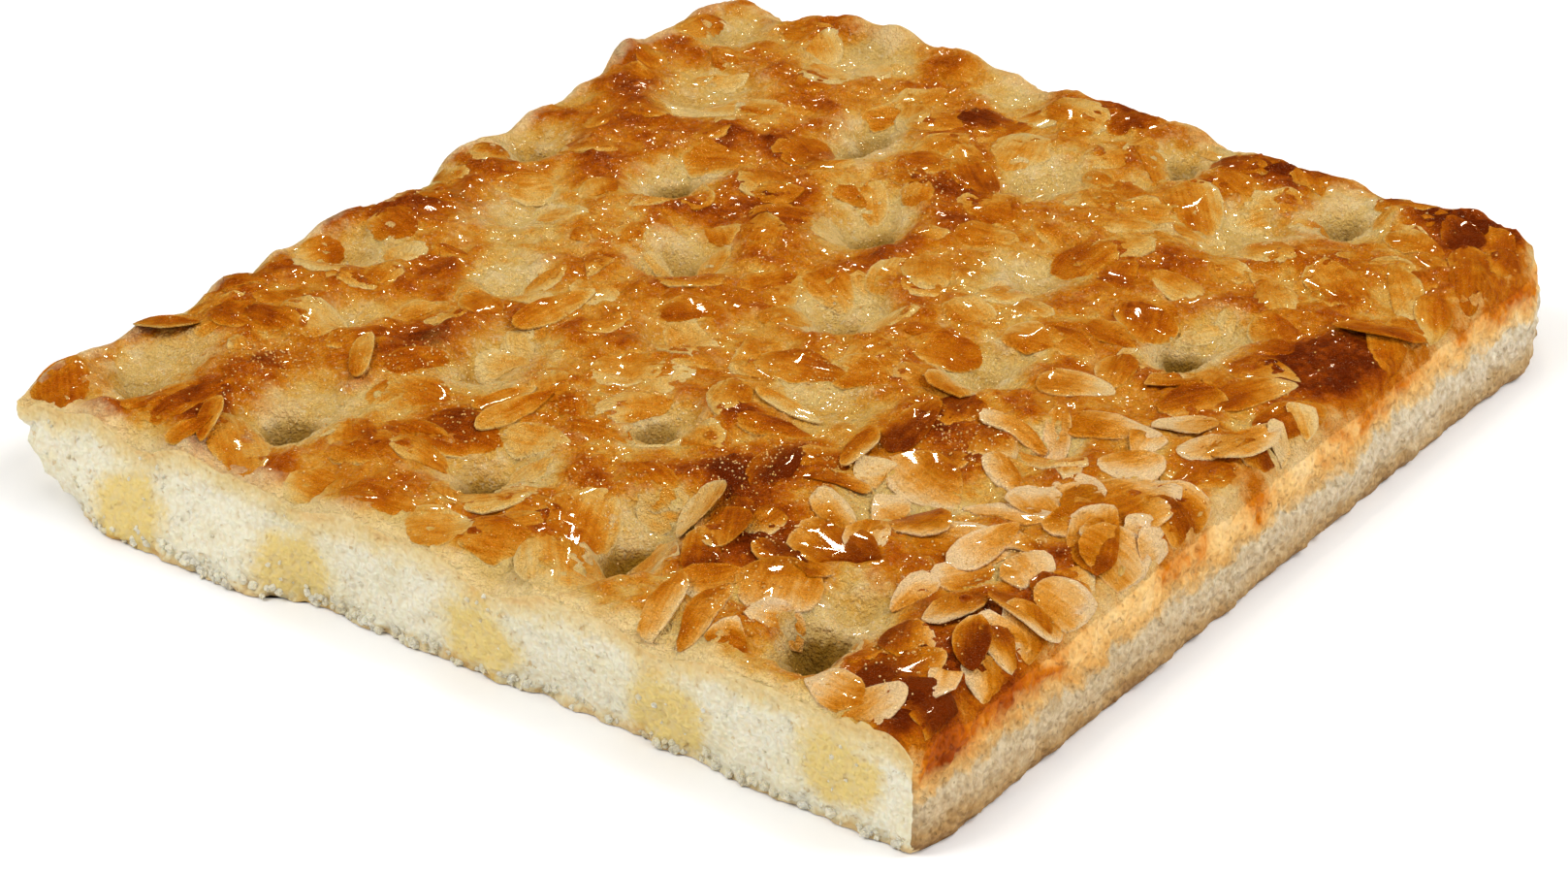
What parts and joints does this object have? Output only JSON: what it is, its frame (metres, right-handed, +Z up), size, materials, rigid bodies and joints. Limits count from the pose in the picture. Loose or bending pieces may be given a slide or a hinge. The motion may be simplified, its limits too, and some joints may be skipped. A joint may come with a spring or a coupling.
{
  "type": "butter cake",
  "caption": "A flat corner piece of baked yeast butter cake with pressed hollows and flaked almonds on its crust, two cut faces and two baked sides.",
  "frame": {"origin": "the middle of the underside's box, on the surface the cake stands on", "axes": "+Z up through the crust; +Y from the front cut face to the rear baked side, the longest way; +X from the left cut face to the right baked side"},
  "size_m": [0.2328, 0.2584, 0.0294],
  "materials": {
    "baked_dough": "golden brown glazed crust over pale crumb"
  },
  "bodies": {
    "root": {"butter_cake": "baked_dough"}
  },
  "joints": []
}
